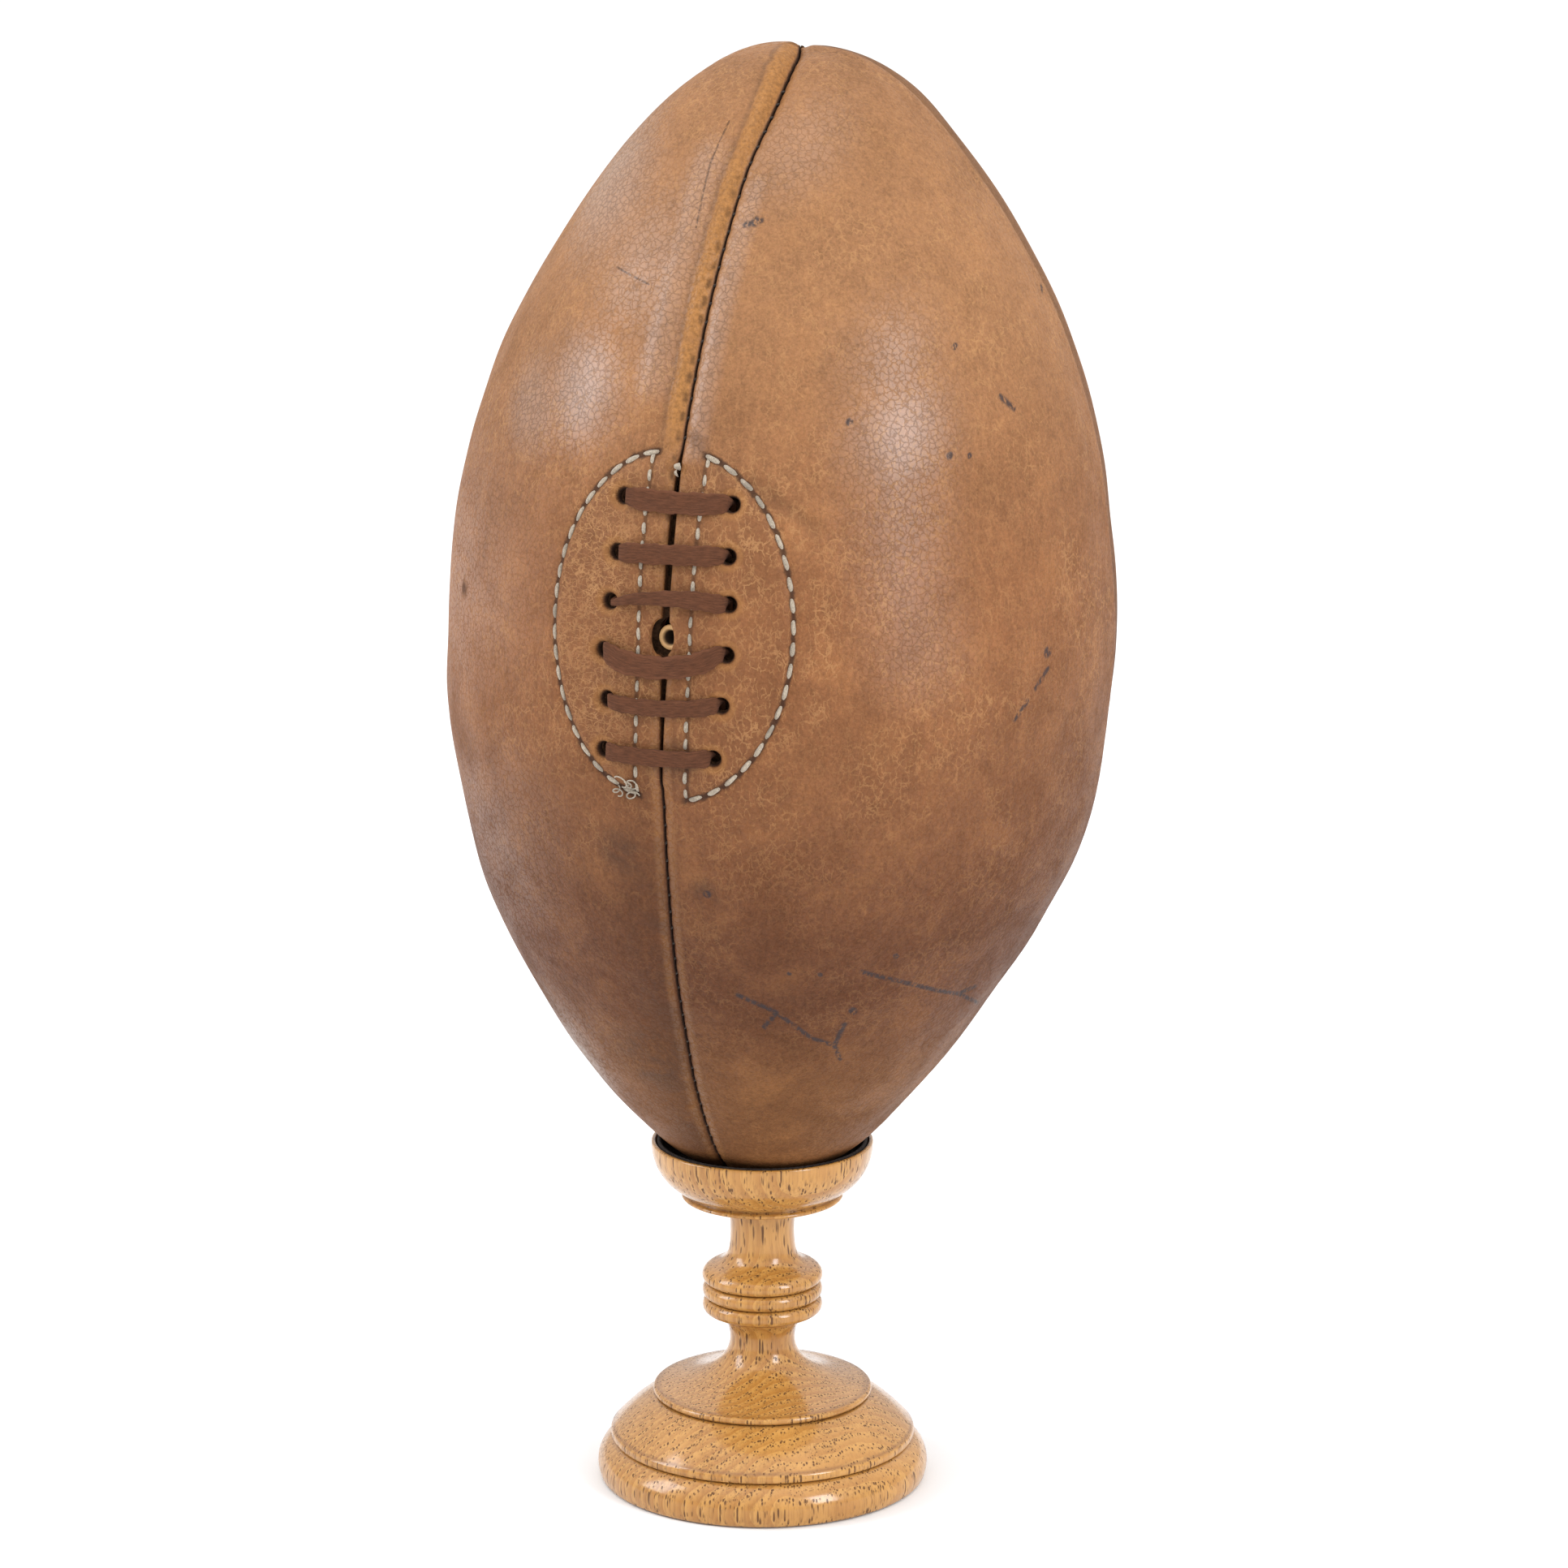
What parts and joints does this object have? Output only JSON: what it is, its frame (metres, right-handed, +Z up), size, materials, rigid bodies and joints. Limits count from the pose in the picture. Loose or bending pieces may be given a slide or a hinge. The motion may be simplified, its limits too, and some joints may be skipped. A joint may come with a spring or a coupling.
{
  "type": "rugby ball",
  "caption": "Old laced leather rugby ball with sewn panels and an inner bladder, resting on its point in a turned oak cup stand.",
  "frame": {"origin": "middle of the stand's flat underside, on the stand's turning axis", "axes": "+Z up along the stand's turning axis; the ball's laced side faces -Y, a little to the -X side; +X to the right seen from that side"},
  "size_m": [0.1785, 0.1798, 0.3947],
  "materials": {
    "panel_leather": "worn brown hide, semi-gloss, darker towards the foot",
    "lining_leather": "undressed brown leather, matt",
    "lace_suede": "dark brown suede thong, matt",
    "waxed_thread": "dark waxed linen thread",
    "cream_thread": "cream linen thread, a little soiled",
    "valve_rubber": "tan rubber, satin",
    "bladder_rubber": "red-brown rubber, matt",
    "oak": "golden varnished oak, glossy",
    "dark_felt": "near-black felt"
  },
  "bodies": {
    "stand": {"stand_base": "oak", "stand_column": "oak", "stand_cup": "oak", "cup_lining": "dark_felt"},
    "ball": {"panel_front_right": "panel_leather", "panel_back_right": "panel_leather", "panel_back_left": "panel_leather", "panel_front_left": "panel_leather", "seam_thread_lace_upper": "waxed_thread", "seam_thread_lace_lower": "waxed_thread", "seam_thread_right": "waxed_thread", "seam_thread_back": "waxed_thread", "seam_thread_left": "waxed_thread", "lace_facing_left": "lining_leather", "lace_facing_right": "lining_leather", "lace_tongue": "lining_leather", "lace": "lace_suede", "facing_stitch_oval_left": "cream_thread", "facing_stitch_oval_right": "cream_thread", "facing_stitch_column_left": "cream_thread", "facing_stitch_column_right": "cream_thread", "bar_tack": "cream_thread", "bladder": "bladder_rubber", "bladder_valve": "valve_rubber"}
  },
  "joints": [
    {"name": "ball_lift", "type": "slide", "parent": "stand", "child": "ball", "axis": [0, 0, 1], "range_m": [0, 0.08]}
  ]
}
